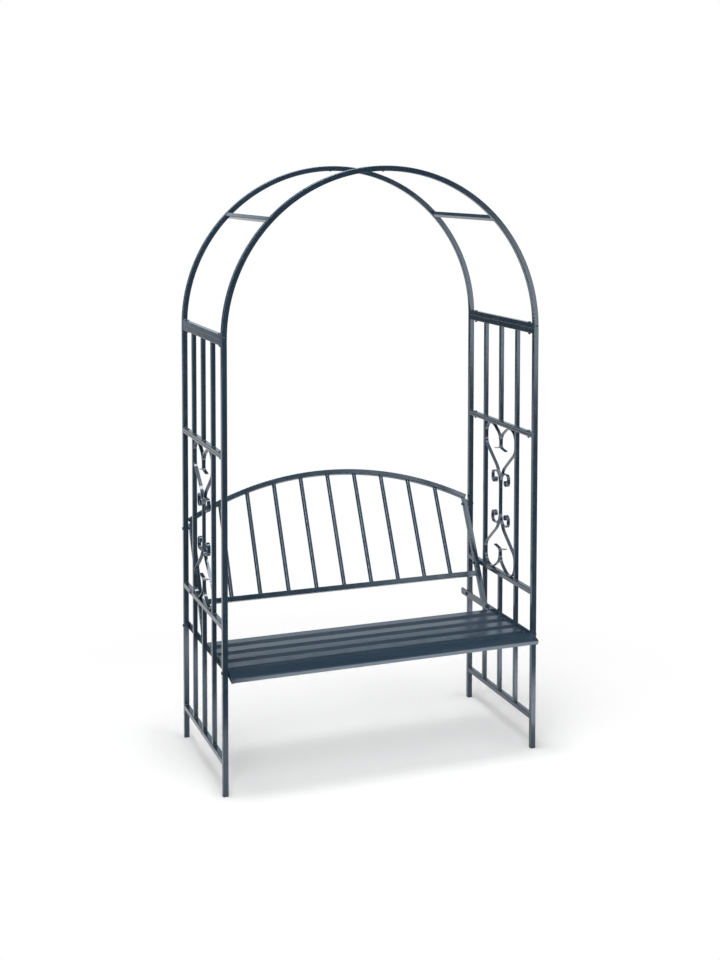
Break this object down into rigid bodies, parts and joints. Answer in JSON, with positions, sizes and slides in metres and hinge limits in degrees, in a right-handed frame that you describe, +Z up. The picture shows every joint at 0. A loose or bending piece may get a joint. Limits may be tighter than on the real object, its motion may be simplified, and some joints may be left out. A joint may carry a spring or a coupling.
{
  "type": "arbour seat",
  "caption": "Garden arbour with a round arch on trellis side frames and a slatted bench with a leaning spindle backrest.",
  "frame": {"origin": "on the ground, midway between the four posts, about 12 mm in front of the middle of the bounding box", "axes": "+Z up; +Y from the front of the bench to its back; +X to the right of someone looking at the bench from the front"},
  "size_m": [1.1352, 0.7149, 2.056],
  "materials": {
    "coated_steel": "satin powder coat, dark slate blue",
    "fastener_steel": "satin, coated to match the frame",
    "foot_plastic": "matt black"
  },
  "bodies": {
    "root": {"apex_sleeves": "coated_steel", "arch_screws": "fastener_steel", "arch_spigots": "coated_steel", "back_bolts": "fastener_steel", "back_low_rail": "coated_steel", "back_spacers": "fastener_steel", "back_spindles": "coated_steel", "back_top_rail": "coated_steel", "foot_plugs": "foot_plastic", "frame_bolts": "fastener_steel", "front_slat": "coated_steel", "left_arch_base_rail": "coated_steel", "left_arch_crossbar": "coated_steel", "left_back_upright": "coated_steel", "left_front_arc": "coated_steel", "left_front_scroll": "coated_steel", "left_low_rail": "coated_steel", "left_lower_bars": "coated_steel", "left_lower_front_post": "coated_steel", "left_lower_joint_rail": "coated_steel", "left_lower_rear_post": "coated_steel", "left_middle_bars": "coated_steel", "left_middle_rail": "coated_steel", "left_rear_arc": "coated_steel", "left_rear_scroll": "coated_steel", "left_scroll_curls": "coated_steel", "left_seat_rail": "coated_steel", "left_top_rail": "coated_steel", "left_upper_bars": "coated_steel", "left_upper_front_post": "coated_steel", "left_upper_joint_rail": "coated_steel", "left_upper_rear_post": "coated_steel", "lock_nuts": "fastener_steel", "post_spigots": "coated_steel", "right_arch_base_rail": "coated_steel", "right_arch_crossbar": "coated_steel", "right_back_upright": "coated_steel", "right_front_arc": "coated_steel", "right_front_scroll": "coated_steel", "right_low_rail": "coated_steel", "right_lower_bars": "coated_steel", "right_lower_front_post": "coated_steel", "right_lower_joint_rail": "coated_steel", "right_lower_rear_post": "coated_steel", "right_middle_bars": "coated_steel", "right_middle_rail": "coated_steel", "right_rear_arc": "coated_steel", "right_rear_scroll": "coated_steel", "right_scroll_curls": "coated_steel", "right_seat_rail": "coated_steel", "right_top_rail": "coated_steel", "right_upper_bars": "coated_steel", "right_upper_front_post": "coated_steel", "right_upper_joint_rail": "coated_steel", "right_upper_rear_post": "coated_steel", "seat_bolts": "fastener_steel", "slat_1": "coated_steel", "slat_2": "coated_steel", "slat_3": "coated_steel", "slat_4": "coated_steel"}
  },
  "joints": []
}
